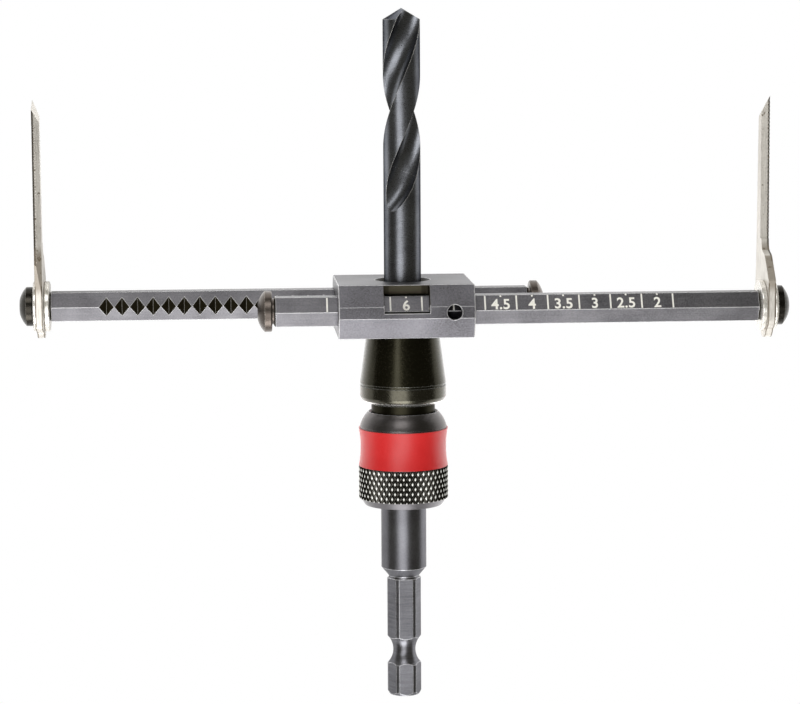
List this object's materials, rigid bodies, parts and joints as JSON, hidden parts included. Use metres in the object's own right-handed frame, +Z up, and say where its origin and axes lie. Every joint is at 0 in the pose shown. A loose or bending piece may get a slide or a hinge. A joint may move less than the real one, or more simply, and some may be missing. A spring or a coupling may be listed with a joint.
{
  "type": "adjustable circle cutter",
  "caption": "Adjustable circle cutter: pilot drill, slide block with two notched hex arms each carrying a saw blade, sprung lock collar and hex shank.",
  "frame": {"origin": "centre of the hex shank's flat end, on the axis of the pilot drill; the tool lies on its back", "axes": "+Y up the pilot drill to its point, +X out along the front arm to its blade, +Z up, out of the side that carries the scale"},
  "size_m": [0.156, 0.1412, 0.0268],
  "materials": {
    "arbor_steel": "dark grey oxide on turned and milled steel",
    "collar_steel": "dark oxide, satin dome and diamond-knurled grip",
    "band_red": "red satin enamel band",
    "cone_gloss": "gloss black lacquer on turned steel",
    "block_steel": "dark grey phosphate, fine satin",
    "arm_steel": "dark grey phosphate on drawn hexagon bar",
    "stop_steel": "dark brown-black oxide",
    "washer_nickel": "bright nickel plate",
    "blade_steel": "bright ground spring steel",
    "screw_oxide": "black oxide",
    "drill_oxide": "black oxide on ground high-speed steel",
    "inner_steel": "bright hardened steel"
  },
  "bodies": {
    "cutter_body": {"arbor": "arbor_steel", "cone_body": "cone_gloss", "slide_block": "block_steel", "pilot_drill": "drill_oxide", "retaining_ring": "inner_steel", "spring_washer": "inner_steel", "return_spring": "inner_steel", "front_detent_ball": "inner_steel", "rear_detent_ball": "inner_steel", "front_detent_spring": "inner_steel", "rear_detent_spring": "inner_steel"},
    "front_arm_slide_body": {"front_arm": "arm_steel", "front_stop_screw": "stop_steel", "front_inner_washer": "washer_nickel", "front_blade": "blade_steel", "front_outer_washer": "washer_nickel", "front_blade_screw": "screw_oxide"},
    "rear_arm_slide_body": {"rear_arm": "arm_steel", "rear_stop_screw": "stop_steel", "rear_inner_washer": "washer_nickel", "rear_blade": "blade_steel", "rear_outer_washer": "washer_nickel", "rear_blade_screw": "screw_oxide"},
    "lock_body": {"lock_collar": "collar_steel", "collar_band": "band_red", "collar_pin": "inner_steel", "lock_plunger": "inner_steel", "lock_sleeve": "inner_steel", "sleeve_pin": "inner_steel"}
  },
  "joints": [
    {"name": "front_arm_slide", "type": "slide", "parent": "cutter_body", "child": "front_arm_slide_body", "axis": [1, 0, 0], "range_m": [-0.0508, 0.0127]},
    {"name": "rear_arm_slide", "type": "slide", "parent": "cutter_body", "child": "rear_arm_slide_body", "axis": [-1, 0, 0], "range_m": [-0.0508, 0.0127]},
    {"name": "collar_pull", "type": "slide", "parent": "cutter_body", "child": "lock_body", "axis": [0, -1, 0], "range_m": [0, 0.0024], "stiffness_N_per_m": 1500, "springref_m": -0.003, "deforming": ["return_spring"]}
  ]
}
